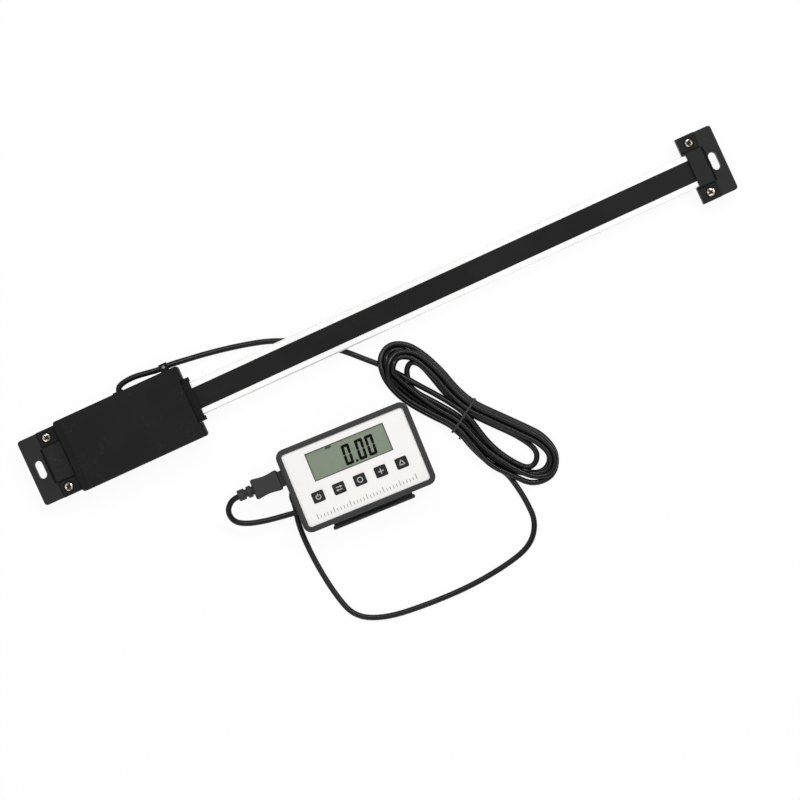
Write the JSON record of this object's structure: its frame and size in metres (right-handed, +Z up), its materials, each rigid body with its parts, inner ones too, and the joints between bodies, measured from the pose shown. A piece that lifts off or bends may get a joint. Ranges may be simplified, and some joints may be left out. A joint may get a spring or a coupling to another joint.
{
  "type": "digital linear scale",
  "caption": "Digital linear scale: a steel beam with slotted end brackets slides through a reader head, wired by a tied lead to a remote readout with keys and a fold-out stand.",
  "frame": {"origin": "centre of the reader head's mounting face, on the surface that the object lies on", "axes": "+X along the beam from the head towards the far bracket, +Y away from the readout, +Z up"},
  "size_m": [0.4318, 0.1917, 0.0218],
  "materials": {
    "beam_steel": "ground and satin",
    "tape": "printed",
    "tape_film": "satin film",
    "bracket_black": "matt black",
    "screw_nickel": "nickel plate",
    "plate_steel": "zinc plate",
    "slider_metal": "die cast",
    "guide_plastic": "natural acetal",
    "spring_steel": "bright",
    "wiper_rubber": "moulded",
    "board_green": "solder mask",
    "chip_black": "moulded",
    "head_black": "fine satin",
    "case_grey": "fine satin",
    "panel_white": "satin sheet",
    "lcd_grey": "reflective display",
    "window_clear": "clear",
    "key_black": "satin",
    "mat_rubber": "silicone",
    "cell_jacket": "printed sleeve",
    "cord_black": "satin jacket",
    "tie_black": "coated wire"
  },
  "bodies": {
    "reader": {"clip_pin": "screw_nickel", "case_screws": "screw_nickel", "head_screws": "screw_nickel", "mount_plate_screws": "screw_nickel", "mount_plate": "plate_steel", "stand_pin": "plate_steel", "slider_body": "slider_metal", "guide_strip_fixed": "guide_plastic", "guide_strip_sprung": "guide_plastic", "slide_pads": "guide_plastic", "gib_spring": "spring_steel", "battery_contacts": "spring_steel", "plug_shell": "spring_steel", "data_socket": "spring_steel", "wiper_near": "wiper_rubber", "wiper_far": "wiper_rubber", "cable_grommet": "wiper_rubber", "rubber_feet": "wiper_rubber", "reader_board": "board_green", "main_board": "board_green", "board_chips": "chip_black", "pickup_plate": "chip_black", "lead_header": "chip_black", "head_cover": "head_black", "cable_clip": "head_black", "display_bezel": "case_grey", "case_back": "case_grey", "face_panel": "panel_white", "lcd_module": "lcd_grey", "lcd_window": "window_clear", "keypad_mat": "mat_rubber", "battery_cells": "cell_jacket", "cord_lead": "cord_black", "cord_hank": "cord_black", "cord_tail": "cord_black", "plug_overmould": "cord_black", "plug_relief": "cord_black", "hank_tie": "tie_black"},
    "beam": {"scale_beam": "beam_steel", "encoder_tape": "tape", "tape_film": "tape_film", "bracket_base_near": "bracket_black", "bracket_base_far": "bracket_black", "bracket_clamp_near": "bracket_black", "bracket_clamp_far": "bracket_black", "bracket_screws": "screw_nickel"},
    "stand": {"stand_plate": "case_grey"},
    "door": {"battery_door": "case_grey"},
    "key_1": {"key_1": "key_black"},
    "key_2": {"key_2": "key_black"},
    "key_3": {"key_3": "key_black"},
    "key_4": {"key_4": "key_black"},
    "key_5": {"key_5": "key_black"}
  },
  "joints": [
    {"name": "beam_slide", "type": "slide", "parent": "reader", "child": "beam", "axis": [-1, 0, 0], "range_m": [0, 0.305]},
    {"name": "stand_hinge", "type": "hinge", "parent": "reader", "child": "stand", "pos_m": [0.10741, -0.06001, 0.002], "axis": [0.9991, -0.0427, 0], "range_deg": [0, 65]},
    {"name": "battery_door_slide", "type": "slide", "parent": "reader", "child": "door", "axis": [0.9991, -0.0427, 0], "range_m": [0, 0.01]},
    {"name": "key_1_press", "type": "slide", "parent": "reader", "child": "key_1", "axis": [0, 0, -1], "range_m": [0, 0.0005], "stiffness_N_per_m": 400},
    {"name": "key_2_press", "type": "slide", "parent": "reader", "child": "key_2", "axis": [0, 0, -1], "range_m": [0, 0.0005], "stiffness_N_per_m": 400},
    {"name": "key_3_press", "type": "slide", "parent": "reader", "child": "key_3", "axis": [0, 0, -1], "range_m": [0, 0.0005], "stiffness_N_per_m": 400},
    {"name": "key_4_press", "type": "slide", "parent": "reader", "child": "key_4", "axis": [0, 0, -1], "range_m": [0, 0.0005], "stiffness_N_per_m": 400},
    {"name": "key_5_press", "type": "slide", "parent": "reader", "child": "key_5", "axis": [0, 0, -1], "range_m": [0, 0.0005], "stiffness_N_per_m": 400}
  ]
}
